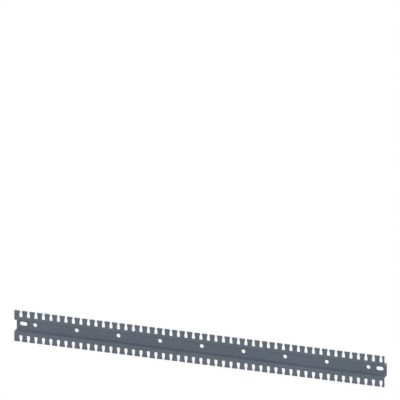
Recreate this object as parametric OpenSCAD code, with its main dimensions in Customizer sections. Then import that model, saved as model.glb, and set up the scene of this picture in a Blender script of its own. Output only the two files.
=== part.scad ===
// U-shaped mounting rail for cabling: one strip of sheet steel, punched flat and then
// bent four times into a hat section, a channel with a flange turned out along each side.
// A row of tie slots runs along both flange edges and leaves a row of T-shaped teeth.
// Round holes and two end slots in the web take the screws that hold the rail.
// The rail lies on the back of its web with the open side up. +X runs along it, +Y across
// it and +Z up, and the origin is the centre of the web's back.

/* [Section] */
// Length of the rail
rail_length = 888; // [300:1:2000]
// Width over both flanges
rail_width = 75; // [70:0.5:120]
// Height from the back of the web to the face of the flanges
rail_height = 19; // [12:0.5:40]
// Clear width of the channel between its walls
channel_width = 26.5; // [20:0.5:32]
// Thickness of the sheet
sheet = 2; // [1:0.1:3]
// Inside radius of the four bends
bend_radius = 1; // [0.5:0.1:3]

/* [Tie slots] */
// Distance from one slot to the next
slot_pitch = 18; // [12:0.5:40]
// From the left end of the rail to the centre of the first slot
first_slot = 15.75; // [8:0.25:40]
// Least land between the last slot and the right end of the rail
end_land = 4; // [2:0.5:20]
// Depth from the flange edge to the flat bottom of a slot
slot_depth = 15.5; // [11:0.5:18]
// Width of a slot behind its mouth
slot_width = 7.5; // [6:0.5:10]
// Width of a slot's mouth at the flange edge
mouth_width = 5; // [3:0.5:7]
// From the flange edge to where the mouth starts to widen
taper_start = 4; // [1:0.25:7]
// From the flange edge to where a slot has its full width
taper_end = 7.75; // [4.5:0.25:12]
// Radius of the two corners at a slot's bottom
slot_corner = 1.5; // [0.5:0.1:3.5]

/* [Web holes] */
// Diameter of the round holes
hole_diameter = 9; // [4:0.1:14]
// Distance from one round hole to the next
hole_pitch = 100; // [40:1:200]
// Least land between an end slot and the nearest round hole
hole_land = 10; // [4:0.5:40]
// Width of the two end slots
end_slot_width = 9; // [4:0.1:14]
// Length of the two end slots
end_slot_length = 17; // [15:0.5:30]
// From the end of the rail to the centre of its end slot
end_slot_inset = 16.5; // [12:0.5:60]

/* [Hidden] */
$fn = 64;

// How far a cutting shape runs past the face that it cuts
overcut = 1;
// Share of a pitch by which a count may round up
count_slack = 0.001;

// Half width of the flat of the web, between its two bends
web_flat = channel_width / 2 - bend_radius;
// Where the flat of a flange starts, from the middle of the rail
flange_start = channel_width / 2 + sheet + bend_radius;
// Height of the flat of a wall, between its two bends
wall_flat = rail_height - 2 * (sheet + bend_radius);

// Centres of the round corners of a slot, from the flange edge and from the slot's middle
corner_depth = slot_depth - slot_corner;
corner_reach = slot_width / 2 - slot_corner;
slot_room = rail_length - first_slot - slot_width / 2 - end_land;
slot_count = floor(slot_room / slot_pitch + count_slack) + 1;

// Room for round holes on each side of the middle one
hole_room = rail_length / 2 - end_slot_inset - end_slot_length / 2 - hole_land - hole_diameter / 2;
holes_each_side = floor(hole_room / hole_pitch + count_slack);

// A quarter ring of bent sheet around the origin, in the first quadrant
module bend() {
    intersection() {
        difference() {
            circle(r = bend_radius + sheet);
            circle(r = bend_radius);
        }
        square(bend_radius + sheet);
    }
}

// One half of the section, from the middle of the web to the edge of the flange
module half_section() {
    // web
    square([web_flat, sheet]);
    // bend from the web up into the wall
    translate([web_flat, sheet + bend_radius])
        rotate(-90)
            bend();
    // wall
    translate([channel_width / 2, sheet + bend_radius])
        square([sheet, wall_flat]);
    // bend from the wall out into the flange
    translate([flange_start, rail_height - sheet - bend_radius])
        rotate(90)
            bend();
    // flange
    translate([flange_start, rail_height - sheet])
        square([rail_width / 2 - flange_start, sheet]);
}

// The bent strip, before its slots and holes
module bent_strip() {
    rotate([90, 0, 90])
        linear_extrude(rail_length, center = true) {
            half_section();
            mirror([1, 0])
                half_section();
        }
}

// A flat shape with round ends, along X around the origin
module obround(length, width) {
    run = length - width;
    square([run, width], center = true);
    for (x = [-run / 2, run / 2])
        translate([x, 0])
            circle(d = width);
}

// One tie slot with its mouth on the X axis, reaching down from it
module tie_slot() {
    // mouth, taper and straight sides
    polygon([
        [mouth_width / 2, overcut],
        [mouth_width / 2, -taper_start],
        [slot_width / 2, -taper_end],
        [slot_width / 2, -corner_depth],
        [-slot_width / 2, -corner_depth],
        [-slot_width / 2, -taper_end],
        [-mouth_width / 2, -taper_start],
        [-mouth_width / 2, overcut]
    ]);
    // flat bottom with round corners
    translate([-corner_reach, -slot_depth])
        square([2 * corner_reach, slot_corner]);
    for (x = [-corner_reach, corner_reach])
        translate([x, -corner_depth])
            circle(r = slot_corner);
}

// The row of tie slots along the edge of the +Y flange
module slot_row() {
    translate([first_slot - rail_length / 2, rail_width / 2, rail_height - sheet - overcut])
        linear_extrude(sheet + 2 * overcut)
            for (i = [0 : slot_count - 1])
                translate([i * slot_pitch, 0])
                    tie_slot();
}

// The round holes along the middle of the web, and a slot near each of its ends
module web_holes() {
    translate([0, 0, -overcut])
        linear_extrude(sheet + 2 * overcut) {
            for (i = [-holes_each_side : holes_each_side])
                translate([i * hole_pitch, 0])
                    circle(d = hole_diameter);
            for (side = [-1, 1])
                translate([side * (rail_length / 2 - end_slot_inset), 0])
                    obround(end_slot_length, end_slot_width);
        }
}

module mounting_rail() {
    color([0.40, 0.41, 0.44])
        difference() {
            bent_strip();
            slot_row();
            mirror([0, 1, 0])
                slot_row();
            web_holes();
        }
}

mounting_rail();
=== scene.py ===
import math

import bmesh
import bpy
from mathutils import Matrix, Vector


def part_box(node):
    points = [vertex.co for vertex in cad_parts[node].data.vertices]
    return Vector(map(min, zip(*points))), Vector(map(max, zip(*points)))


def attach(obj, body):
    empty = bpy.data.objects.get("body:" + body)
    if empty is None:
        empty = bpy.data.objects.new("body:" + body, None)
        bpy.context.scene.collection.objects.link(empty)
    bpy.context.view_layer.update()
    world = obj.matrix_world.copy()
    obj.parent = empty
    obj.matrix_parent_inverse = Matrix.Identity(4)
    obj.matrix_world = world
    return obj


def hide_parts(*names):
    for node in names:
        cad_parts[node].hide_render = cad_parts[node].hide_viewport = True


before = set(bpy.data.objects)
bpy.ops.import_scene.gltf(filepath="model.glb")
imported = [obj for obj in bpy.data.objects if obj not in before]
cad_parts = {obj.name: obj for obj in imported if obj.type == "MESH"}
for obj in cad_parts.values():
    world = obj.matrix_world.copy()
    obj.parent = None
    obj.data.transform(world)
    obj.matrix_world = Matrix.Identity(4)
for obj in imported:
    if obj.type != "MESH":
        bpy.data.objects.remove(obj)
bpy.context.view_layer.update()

# Rail
# One strip of zinc-plated steel sheet with a dull blue-grey finish. The tie slots and the screw holes are
# punched while it is flat, and then it is bent four times into a hat section: a channel with a flange
# turned out along each side.

MM = 0.001
NODE = "mounting_rail"
low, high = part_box(NODE)

# Section
CHANNEL = 26.5 * MM
SHEET = 2 * MM
INNER_RADIUS = 1 * MM
BEND_STEPS = 8

# Tie slots along the flange edges, counted from the left end
SLOT_PITCH = 18 * MM
FIRST_SLOT = 15.75 * MM
END_LAND = 4 * MM
SLOT_DEPTH = 15.5 * MM
SLOT_WIDTH = 7.5 * MM
SLOT_CORNER = 1.5 * MM
MOUTH = 5 * MM
TAPER_START = 4 * MM
TAPER_END = 7.75 * MM
CORNER_STEPS = 8

# Round holes along the middle of the web, and a slotted one near each end
HOLE_RADIUS = 4.5 * MM
HOLE_PITCH = 100 * MM
HOLES_EACH_SIDE = 4
END_SLOT_LENGTH = 17 * MM
END_SLOT_INSET = 16.5 * MM
HOLE_STEPS = 12

# Lines across half of the flat blank, from the middle of the web out to the edge of the flange
half_web = CHANNEL / 2 - INNER_RADIUS
flange_start = CHANNEL / 2 + SHEET + INNER_RADIUS
wall = high.z - low.z - 2 * (SHEET + INNER_RADIUS)
bend_run = (INNER_RADIUS + SHEET / 2) * math.pi / 2
wall_start = half_web + bend_run
wall_end = wall_start + wall
flange_line = wall_end + bend_run
edge = flange_line + high.y - flange_start


def quarter_circle(x, y, radius, steps):
    """Points of a quarter circle around (x, y), from its right end to its top."""
    turns = [math.pi / 2 * i / steps for i in range(steps + 1)]
    return [(x + radius * math.cos(turn), y + radius * math.sin(turn)) for turn in turns]


# Half of a cut's outline, as distances along the rail and away from the line that the cut starts on
corner_reach = SLOT_WIDTH / 2 - SLOT_CORNER
corner_depth = SLOT_DEPTH - SLOT_CORNER
half_slot = [(MOUTH / 2, 0), (MOUTH / 2, TAPER_START), (SLOT_WIDTH / 2, TAPER_END)]
half_slot += quarter_circle(corner_reach, corner_depth, SLOT_CORNER, CORNER_STEPS)
half_slot += [(0, SLOT_DEPTH)]
round_hole = quarter_circle(0, 0, HOLE_RADIUS, HOLE_STEPS)
end_slot = quarter_circle(END_SLOT_LENGTH / 2 - HOLE_RADIUS, 0, HOLE_RADIUS, HOLE_STEPS)
end_slot += [(0, HOLE_RADIUS)]
rail_end = [(0, 0)]

# Every cut by the place of its centre along the rail
slot_room = high.x - low.x - FIRST_SLOT - SLOT_WIDTH / 2 - END_LAND
slot_count = math.floor(slot_room / SLOT_PITCH) + 1
flange_cuts = {low.x + FIRST_SLOT + i * SLOT_PITCH: half_slot for i in range(slot_count)}
web_cuts = {low.x + END_SLOT_INSET: end_slot}
web_cuts |= {i * HOLE_PITCH: round_hole for i in range(-HOLES_EACH_SIDE, HOLES_EACH_SIDE + 1)}
web_cuts |= {high.x - END_SLOT_INSET: end_slot}
stations = sorted({low.x, high.x, *flange_cuts, *web_cuts})


def land(left, right, cuts, bend_line, start, inward):
    """Outline of the flat sheet between two cuts, from the line that they start on to the bend line."""
    points = [(x, bend_line) for x in stations if left <= x <= right]
    points += [(right - x, start + inward * depth) for x, depth in reversed(cuts.get(right, rail_end))]
    points += [(left + x, start + inward * depth) for x, depth in cuts.get(left, rail_end)]
    return points


outlines = []
for cuts, bend_line, start, inward in ((web_cuts, half_web, 0, 1), (flange_cuts, flange_line, edge, -1)):
    breaks = [low.x, *cuts, high.x]
    for left, right in zip(breaks, breaks[1:]):
        outlines.append(land(left, right, cuts, bend_line, start, inward))
steps = [bend_run * i / BEND_STEPS for i in range(BEND_STEPS + 1)]
strip_lines = [start + step for start in (half_web, wall_end) for step in steps]
for near, far in zip(strip_lines, strip_lines[1:]):
    for left, right in zip(stations, stations[1:]):
        outlines.append([(left, near), (right, near), (right, far), (left, far)])


def bent(x, across, rise):
    """Where a point of the blank ends up. rise is its height above the blank's back."""
    side = math.copysign(1, across)
    reach = abs(across)
    if reach <= half_web:
        y = reach
        z = rise
    elif reach <= wall_start:
        turn = (reach - half_web) / bend_run * math.pi / 2
        radius = INNER_RADIUS + SHEET - rise
        y = half_web + radius * math.sin(turn)
        z = SHEET + INNER_RADIUS - radius * math.cos(turn)
    elif reach <= wall_end:
        y = CHANNEL / 2 + SHEET - rise
        z = SHEET + INNER_RADIUS + reach - wall_start
    elif reach <= flange_line:
        turn = (reach - wall_end) / bend_run * math.pi / 2
        radius = INNER_RADIUS + rise
        y = flange_start - radius * math.cos(turn)
        z = SHEET + INNER_RADIUS + wall + radius * math.sin(turn)
    else:
        y = flange_start + reach - flange_line
        z = SHEET + 2 * INNER_RADIUS + wall + rise
    return Vector((x, side * y, low.z + z))


def strain(across):
    """How hard the bends work the sheet at a line of the blank: 1 in the middle of a bend, 0 on a flat."""
    reach = abs(across)
    shares = [(reach - start) / bend_run for start in (half_web, wall_end)]
    return max(math.sin(math.pi * share) if 0 < share < 1 else 0 for share in shares)


# The flat blank, with a rim marked off along every cut, given its thickness
SAME_POINT = 0.001 * MM
RIM = 0.8 * MM
blank = bmesh.new()
for side in (-1, 1):
    for outline in outlines:
        blank.faces.new([blank.verts.new((x, side * across, 0)) for x, across in outline])
bmesh.ops.remove_doubles(blank, verts=blank.verts, dist=SAME_POINT)
bmesh.ops.recalc_face_normals(blank, faces=blank.faces)
bmesh.ops.inset_region(blank, faces=blank.faces[:], thickness=RIM, use_boundary=True, use_even_offset=True)
rim_layer = blank.verts.layers.float.new("rim")
for vertex in blank.verts:
    vertex[rim_layer] = vertex.is_boundary
raised = bmesh.ops.extrude_face_region(blank, geom=blank.faces[:])
for part in raised["geom"]:
    if isinstance(part, bmesh.types.BMVert):
        part.co.z = SHEET
bmesh.ops.recalc_face_normals(blank, faces=blank.faces)

# The cut edges: rolled over a little at both faces, and bare of the face's own texture
SHARP_CORNER = math.radians(15)
FACE_FINISH = 0
CUT_FINISH = 1
rolled = blank.edges.layers.float.new("bevel_weight_edge")
for face in blank.faces:
    rises = {vertex.co.z for vertex in face.verts}
    if len(rises) == 1:
        face.material_index = FACE_FINISH
        continue
    face.material_index = CUT_FINISH
    for border in face.edges:
        level = border.verts[0].co.z == border.verts[1].co.z
        if level or border.calc_face_angle() > SHARP_CORNER:
            border[rolled] = 1

# The bends
depth_layer = blank.verts.layers.float.new("depth")
strain_layer = blank.verts.layers.float.new("strain")
for vertex in blank.verts:
    vertex[depth_layer] = 1 - vertex.co.z / SHEET
    vertex[strain_layer] = strain(vertex.co.y)
    vertex.co = bent(*vertex.co)
for face in blank.faces:
    face.smooth = True

mesh = bpy.data.meshes.new("bent_rail")
blank.to_mesh(mesh)
blank.free()
rail = bpy.data.objects.new("bent_rail", mesh)
bpy.context.scene.collection.objects.link(rail)

# The roll of the cut edges, and even shading: each corner takes its direction from its largest face
ROLL_OVER = 0.25 * MM
ROLL_STEPS = 2
FLATS_ONLY = 100
SAME_AREA = 0.1 * MM * MM
roll_over = rail.modifiers.new("rolled edges", "BEVEL")
roll_over.limit_method = "WEIGHT"
roll_over.offset_type = "OFFSET"
roll_over.width = ROLL_OVER
roll_over.segments = ROLL_STEPS
roll_over.use_clamp_overlap = False
even_light = rail.modifiers.new("flat faces", "WEIGHTED_NORMAL")
even_light.weight = FLATS_ONLY
even_light.thresh = SAME_AREA


class Shade:
    """A socket of a material's nodes. Sums and products with it add Math nodes."""

    # Places of a Mix node's sockets for colours, which share their names with those for values
    MIX_FIRST = 6
    MIX_SECOND = 7
    MIX_RESULT = 2

    def __init__(self, tree, socket=None):
        self.tree = tree
        self.socket = socket

    def node(self, kind, settings, sockets, output=0):
        """Adds a node, sets it up, fills its sockets with values or links, and wraps one of its outputs."""
        made = self.tree.nodes.new(kind)
        for name, value in settings.items():
            setattr(made, name, value)
        for name, value in sockets.items():
            if isinstance(value, Shade):
                self.tree.links.new(value.socket, made.inputs[name])
            else:
                made.inputs[name].default_value = value
        return Shade(self.tree, made.outputs[output])

    def maths(self, operation, first, second):
        """What a Math node makes of two values."""
        return self.node("ShaderNodeMath", {"operation": operation}, {0: first, 1: second})

    def __add__(self, other):
        return self.maths("ADD", self, other)

    def __sub__(self, other):
        return self.maths("SUBTRACT", self, other)

    def __rsub__(self, other):
        return self.maths("SUBTRACT", other, self)

    def __mul__(self, other):
        return self.maths("MULTIPLY", self, other)

    __radd__ = __add__
    __rmul__ = __mul__

    def between(self, start, end):
        """0 where this value is start or less, 1 where it is end or more."""
        limits = {"Value": self, "From Min": start, "From Max": end}
        return self.node("ShaderNodeMapRange", {}, limits, "Result")

    def blend(self, first, second):
        """A colour from the first, where this value is 0, to the second, where it is 1."""
        colours = {"Factor": self, self.MIX_FIRST: first, self.MIX_SECOND: second}
        return self.node("ShaderNodeMix", {"data_type": "RGBA"}, colours, self.MIX_RESULT)

    def feed(self, name, shader):
        """Links this socket to one of a shader's inputs."""
        self.tree.links.new(self.socket, shader.inputs[name])


def new_material(name):
    """An empty finish with nodes, and a Shade that adds to them."""
    material = bpy.data.materials.new(name)
    material.use_nodes = True
    return material, Shade(material.node_tree)


NOISE_DETAIL = 2


def noise(shade, place, size):
    """Soft random patches around 0.5, about as long along each axis as the size says."""
    per_metre = tuple(1 / length for length in size)
    scaled = shade.node("ShaderNodeVectorMath", {"operation": "MULTIPLY"}, {0: place, 1: per_metre})
    pattern = {"Vector": scaled, "Scale": 1, "Detail": NOISE_DETAIL}
    return shade.node("ShaderNodeTexNoise", {}, pattern, "Fac")


# Zinc on the faces of the sheet: fine crystals with ragged borders, broad and fine lines along the rolling
# direction, slow clouds of tone under a film with a faint tint from green to violet, a crazed and duller
# band where a bend has worked the plating, darkened further as painted shade against the brighter light
# on the bends, rubs and hairline scratches from stacking, and worn rims
ZINC_DARK = (0.070, 0.085, 0.108, 1)
ZINC_PALE = (0.128, 0.149, 0.181, 1)
# Duller zinc for rubs, and for the bends, where it is also painted shade
ZINC_DULL_AND_BEND_SHADE = (0.084, 0.100, 0.123, 1)
ZINC_BRIGHT = (0.165, 0.180, 0.200, 1)
ZINC_METAL = 0.1
ZINC_GLOSS = 0.18

# Size of each pattern along X, Y and Z, and the values between which some of them fade in
CRYSTAL_SIZE = 2.4 * MM
CRYSTAL_RAGGED = 0.9 * MM
CLOUD_SIZE = (160 * MM, 60 * MM, 60 * MM)
TINT_SIZE = (70 * MM, 25 * MM, 25 * MM)
LINE_SIZE = (120 * MM, 1.6 * MM, 1.6 * MM)
FINE_LINE_SIZE = (30 * MM, 0.35 * MM, 0.35 * MM)
PEBBLE_SIZE = (0.8 * MM, 0.8 * MM, 0.8 * MM)
CRAZE_SIZE = (9 * MM, 0.9 * MM, 0.9 * MM)
CRAZE_FADE = (0.40, 0.62)
RUB_SIZE = (45 * MM, 5 * MM, 5 * MM)
RUB_FADE = (0.64, 0.74)
SCRATCH_SIZE = (26 * MM, 0.5 * MM, 0.5 * MM)
SCRATCH_FADE = (0.73, 0.78)
SCRATCH_TURNS = (math.radians(14), math.radians(-38))
WEAR_SIZE = (5 * MM, 5 * MM, 5 * MM)
WEAR_FADE = (0.95, 1.4)

# Share of each pattern in the tone from dark to pale, and how far the others take on their own colour.
# A hue of 0.5 is the colour as it is.
CLOUD_TONE = 0.3
CRYSTAL_TONE = 0.2
LINE_TONE = 0.2
FINE_LINE_TONE = 0.3
TONE_FADE = (0.2, 0.8)
TINT_HUE = 0.44
TINT_SHIFT = 0.12
RUB_COLOUR = 0.35
# The crazed band on the bends takes a darker colour partly as painted shade, against the lamps' extra light
# there
BEND_CRAZE_AND_SHADE_COLOUR = 0.45
SCRATCH_COLOUR = 0.4
WEAR_COLOUR = 0.8

# Roughness of clean zinc, and how much each pattern roughens or polishes it
SATIN = 0.44
CLOUD_ROUGH = 0.1
CRYSTAL_ROUGH = 0.08
WORKED_ROUGH = 0.08
RUB_POLISH = 0.08
SCRATCH_POLISH = 0.12
WEAR_POLISH = 0.1

# Height of the relief, and how far each pattern stands up or goes in, as a share of it
FACE_RELIEF = 0.01 * MM
LINE_RISE = 0.4
FINE_LINE_RISE = 0.3
PEBBLE_RISE = 0.4
WORKED_DEPTH = 0.5
SCRATCH_DEPTH = 0.5


def crystals(shade, place):
    """A random value for each zinc crystal."""
    wander = shade.node("ShaderNodeTexNoise", {}, {"Vector": place, "Scale": 1 / CRYSTAL_SIZE}, "Color")
    spread = (CRYSTAL_RAGGED, CRYSTAL_RAGGED, CRYSTAL_RAGGED)
    moved = {0: wander, 1: spread, 2: place}
    ragged = shade.node("ShaderNodeVectorMath", {"operation": "MULTIPLY_ADD"}, moved)
    cells = shade.node("ShaderNodeTexVoronoi", {}, {"Vector": ragged, "Scale": 1 / CRYSTAL_SIZE}, "Color")
    return shade.node("ShaderNodeSeparateColor", {}, {"Color": cells}, "Red")


def scratches(shade, place, turn):
    """1 on short hairlines that run at a turn to the rail, and 0 elsewhere."""
    turning = {"Vector": place, "Angle": turn}
    turned = shade.node("ShaderNodeVectorRotate", {"rotation_type": "Z_AXIS"}, turning)
    return noise(shade, turned, SCRATCH_SIZE).between(*SCRATCH_FADE)


def zinc_face():
    material, shade = new_material("zinc_face")
    shader = shade.tree.nodes["Principled BSDF"]
    place = shade.node("ShaderNodeTexCoord", {}, {}, "Object")
    crystal = crystals(shade, place)
    cloud = noise(shade, place, CLOUD_SIZE)
    line = noise(shade, place, LINE_SIZE)
    fine_line = noise(shade, place, FINE_LINE_SIZE)
    pebble = noise(shade, place, PEBBLE_SIZE)
    craze = noise(shade, place, CRAZE_SIZE).between(*CRAZE_FADE)
    # The crazed band on the bends: real crazing in roughness and relief, and painted shade in its colour
    bend_craze_and_shade = shade.node("ShaderNodeAttribute", {"attribute_name": "strain"}, {}, "Fac") * craze
    rub = noise(shade, place, RUB_SIZE).between(*RUB_FADE)
    shallow, steep = [scratches(shade, place, turn) for turn in SCRATCH_TURNS]
    scratch = shallow + steep
    rim = shade.node("ShaderNodeAttribute", {"attribute_name": "rim"}, {}, "Fac")
    wear = (rim + noise(shade, place, WEAR_SIZE)).between(*WEAR_FADE)

    tone = CLOUD_TONE * cloud + CRYSTAL_TONE * crystal + LINE_TONE * line + FINE_LINE_TONE * fine_line
    colour = tone.between(*TONE_FADE).blend(ZINC_DARK, ZINC_PALE)
    hue = TINT_HUE + TINT_SHIFT * noise(shade, place, TINT_SIZE)
    colour = shade.node("ShaderNodeHueSaturation", {}, {"Hue": hue, "Color": colour})
    colour = (RUB_COLOUR * rub).blend(colour, ZINC_DULL_AND_BEND_SHADE)
    # Painted shade: the bends are darkened more than crazing alone would, to even out the lamps' brighter
    # light on them
    colour = (BEND_CRAZE_AND_SHADE_COLOUR * bend_craze_and_shade).blend(colour, ZINC_DULL_AND_BEND_SHADE)
    colour = (SCRATCH_COLOUR * scratch).blend(colour, ZINC_BRIGHT)
    colour = (WEAR_COLOUR * wear).blend(colour, ZINC_BRIGHT)
    colour.feed("Base Color", shader)

    roughness = SATIN + CLOUD_ROUGH * cloud + CRYSTAL_ROUGH * crystal + WORKED_ROUGH * bend_craze_and_shade
    roughness -= RUB_POLISH * rub + SCRATCH_POLISH * scratch + WEAR_POLISH * wear
    roughness.feed("Roughness", shader)
    shader.inputs["Metallic"].default_value = ZINC_METAL
    shader.inputs["Specular IOR Level"].default_value = ZINC_GLOSS

    relief = LINE_RISE * line + FINE_LINE_RISE * fine_line + PEBBLE_RISE * pebble
    relief -= WORKED_DEPTH * bend_craze_and_shade + SCRATCH_DEPTH * scratch
    bumps = shade.node("ShaderNodeBump", {}, {"Height": relief, "Distance": FACE_RELIEF}, "Normal")
    bumps.feed("Normal", shader)
    return material


# Bare steel on the cut edges: a smooth burnished band where the punch went in, then a coarse torn band down
# to the back. The border between them wavers along the edge. Depths are shares of the sheet's thickness.
BURNISHED = (0.185, 0.200, 0.220, 1)
TORN = (0.105, 0.118, 0.136, 1)
SCORE_SIZE = (0.9 * MM, 0.9 * MM, 8 * MM)
TEAR_SIZE = (0.7 * MM, 0.7 * MM, 0.7 * MM)
BORDER_WAVER = 0.3
BORDER_FADE = (0.49, 0.61)
TORN_TONE = 0.7
SCORE_TONE = 0.3
BURNISHED_ROUGH = 0.36
TORN_ROUGH = 0.2
TEAR_ROUGH = 0.08
CUT_RELIEF = 0.036 * MM
SCORE_RISE = 0.3


def cut_edge():
    material, shade = new_material("cut_edge")
    shader = shade.tree.nodes["Principled BSDF"]
    place = shade.node("ShaderNodeTexCoord", {}, {}, "Object")
    score = noise(shade, place, SCORE_SIZE)
    tear = noise(shade, place, TEAR_SIZE)
    depth = shade.node("ShaderNodeAttribute", {"attribute_name": "depth"}, {}, "Fac")
    torn = (depth + BORDER_WAVER * score).between(*BORDER_FADE)

    (TORN_TONE * torn + SCORE_TONE * score).blend(BURNISHED, TORN).feed("Base Color", shader)
    (BURNISHED_ROUGH + TORN_ROUGH * torn + TEAR_ROUGH * tear).feed("Roughness", shader)
    shader.inputs["Metallic"].default_value = ZINC_METAL
    shader.inputs["Specular IOR Level"].default_value = ZINC_GLOSS

    relief = SCORE_RISE * score * (1 - torn) + tear * torn
    bumps = shade.node("ShaderNodeBump", {}, {"Height": relief, "Distance": CUT_RELIEF}, "Normal")
    bumps.feed("Normal", shader)
    return material


mesh.materials.append(zinc_face())
mesh.materials.append(cut_edge())
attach(rail, "root")
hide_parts(NODE)

# Floor
# A wide sheet of white card that the rail lies on. It shows as white to the camera and in reflections,
# apart from the rail's own soft shadow.

FLOOR_HALF = 8
FLOOR_GAP = 0.1 * MM
CARD = (0.98, 0.98, 0.98, 1)
SHADOW_SHARE = 0.4
ends = (-FLOOR_HALF, FLOOR_HALF)
corners = [(x, y, low.z - FLOOR_GAP) for x in ends for y in ends]
floor_mesh = bpy.data.meshes.new("floor")
floor_mesh.from_pydata(corners, [], [(0, 2, 3, 1)])
floor = bpy.data.objects.new("floor", floor_mesh)
bpy.context.scene.collection.objects.link(floor)


def seen(shade):
    """1 for a ray that shows the backdrop, straight, in a reflection or through glass, and 0 for light."""
    kinds = ("Is Camera Ray", "Is Glossy Ray", "Is Transmission Ray")
    straight, mirrored, through = [shade.node("ShaderNodeLightPath", {}, {}, kind) for kind in kinds]
    return straight + mirrored + through


def white_card():
    material, shade = new_material("white_card")
    matt = shade.node("ShaderNodeBsdfDiffuse", {}, {"Color": CARD})
    white = shade.node("ShaderNodeEmission", {}, {"Strength": 1})
    share = (1 - SHADOW_SHARE) * seen(shade)
    card = shade.node("ShaderNodeMixShader", {}, {"Fac": share, 1: matt, 2: white})
    card.feed("Surface", shade.tree.nodes["Material Output"])
    return material


floor_mesh.materials.append(white_card())

# Light
# A dim white room and three broad lamps: a key lamp from the viewer, a low wall lamp on the same side, which
# lights the wall that the viewer sees, and a fill lamp on the other side. The last two reach into the
# channel, so they cast no shadow.

ROOM_COLOUR = (1, 1, 1, 1)
ROOM_LIGHT = 0.05
KEY_LIGHT = 1.8
KEY_FROM = (0.31, 0.36, 0.88)
KEY_SPREAD = math.radians(18)
WALL_LIGHT = 2.35
WALL_FROM = (0.5, 0.8, 0.33)
FILL_LIGHT = 1.25
FILL_FROM = (-0.2, -0.8, 0.56)
SIDE_SPREAD = math.radians(40)

room = bpy.data.worlds.new("room")
room.use_nodes = True
room_shade = Shade(room.node_tree)
brightness = ROOM_LIGHT + (1 - ROOM_LIGHT) * seen(room_shade)
background = room.node_tree.nodes["Background"]
background.inputs["Color"].default_value = ROOM_COLOUR
brightness.feed("Strength", background)
bpy.context.scene.world = room


def lamp(name, strength, source, spread):
    """Adds a lamp that shines from the direction of its source. The wider its spread, the softer it is."""
    light = bpy.data.lights.new(name, "SUN")
    light.energy = strength
    light.angle = spread
    holder = bpy.data.objects.new(name, light)
    holder.rotation_euler = Vector(source).to_track_quat("Z", "Y").to_euler()
    bpy.context.scene.collection.objects.link(holder)
    return light


lamp("key_lamp", KEY_LIGHT, KEY_FROM, KEY_SPREAD)
wall_lamp = lamp("wall_lamp", WALL_LIGHT, WALL_FROM, SIDE_SPREAD)
wall_lamp.use_shadow = False
fill_lamp = lamp("fill_lamp", FILL_LIGHT, FILL_FROM, SIDE_SPREAD)
fill_lamp.use_shadow = False

# Camera
# A parallel view down into the channel, turned towards the +X end and tilted towards the +Y flange. It is
# placed so that the lower left corner of the flanges' faces falls on its pixel of the picture.

PICTURE = 400
PIXELS_PER_METRE = 441.1
VIEW_TURN = math.radians(19.16)
VIEW_TILT = math.radians(21.2)
CORNER_PIXEL = (13.75, 340.41)
CAMERA_DISTANCE = 3
right = Vector((math.cos(VIEW_TURN), 0, -math.sin(VIEW_TURN)))
ahead = Vector((-math.sin(VIEW_TURN), 0, -math.cos(VIEW_TURN)))
up = math.cos(VIEW_TILT) * Vector((0, 1, 0)) + math.sin(VIEW_TILT) * ahead
back = right.cross(up)
middle_pixel = (PICTURE - 1) / 2
aim = Vector((low.x, low.y, high.z))
aim += right * (middle_pixel - CORNER_PIXEL[0]) / PIXELS_PER_METRE
aim += up * (CORNER_PIXEL[1] - middle_pixel) / PIXELS_PER_METRE
lens = bpy.data.cameras.new("camera")
lens.type = "ORTHO"
lens.ortho_scale = PICTURE / PIXELS_PER_METRE
camera = bpy.data.objects.new("camera", lens)
turned = Matrix((right, up, back)).transposed().to_4x4()
camera.matrix_world = Matrix.Translation(aim + CAMERA_DISTANCE * back) @ turned
bpy.context.scene.collection.objects.link(camera)
bpy.context.scene.camera = camera
bpy.context.scene.view_settings.view_transform = "Standard"
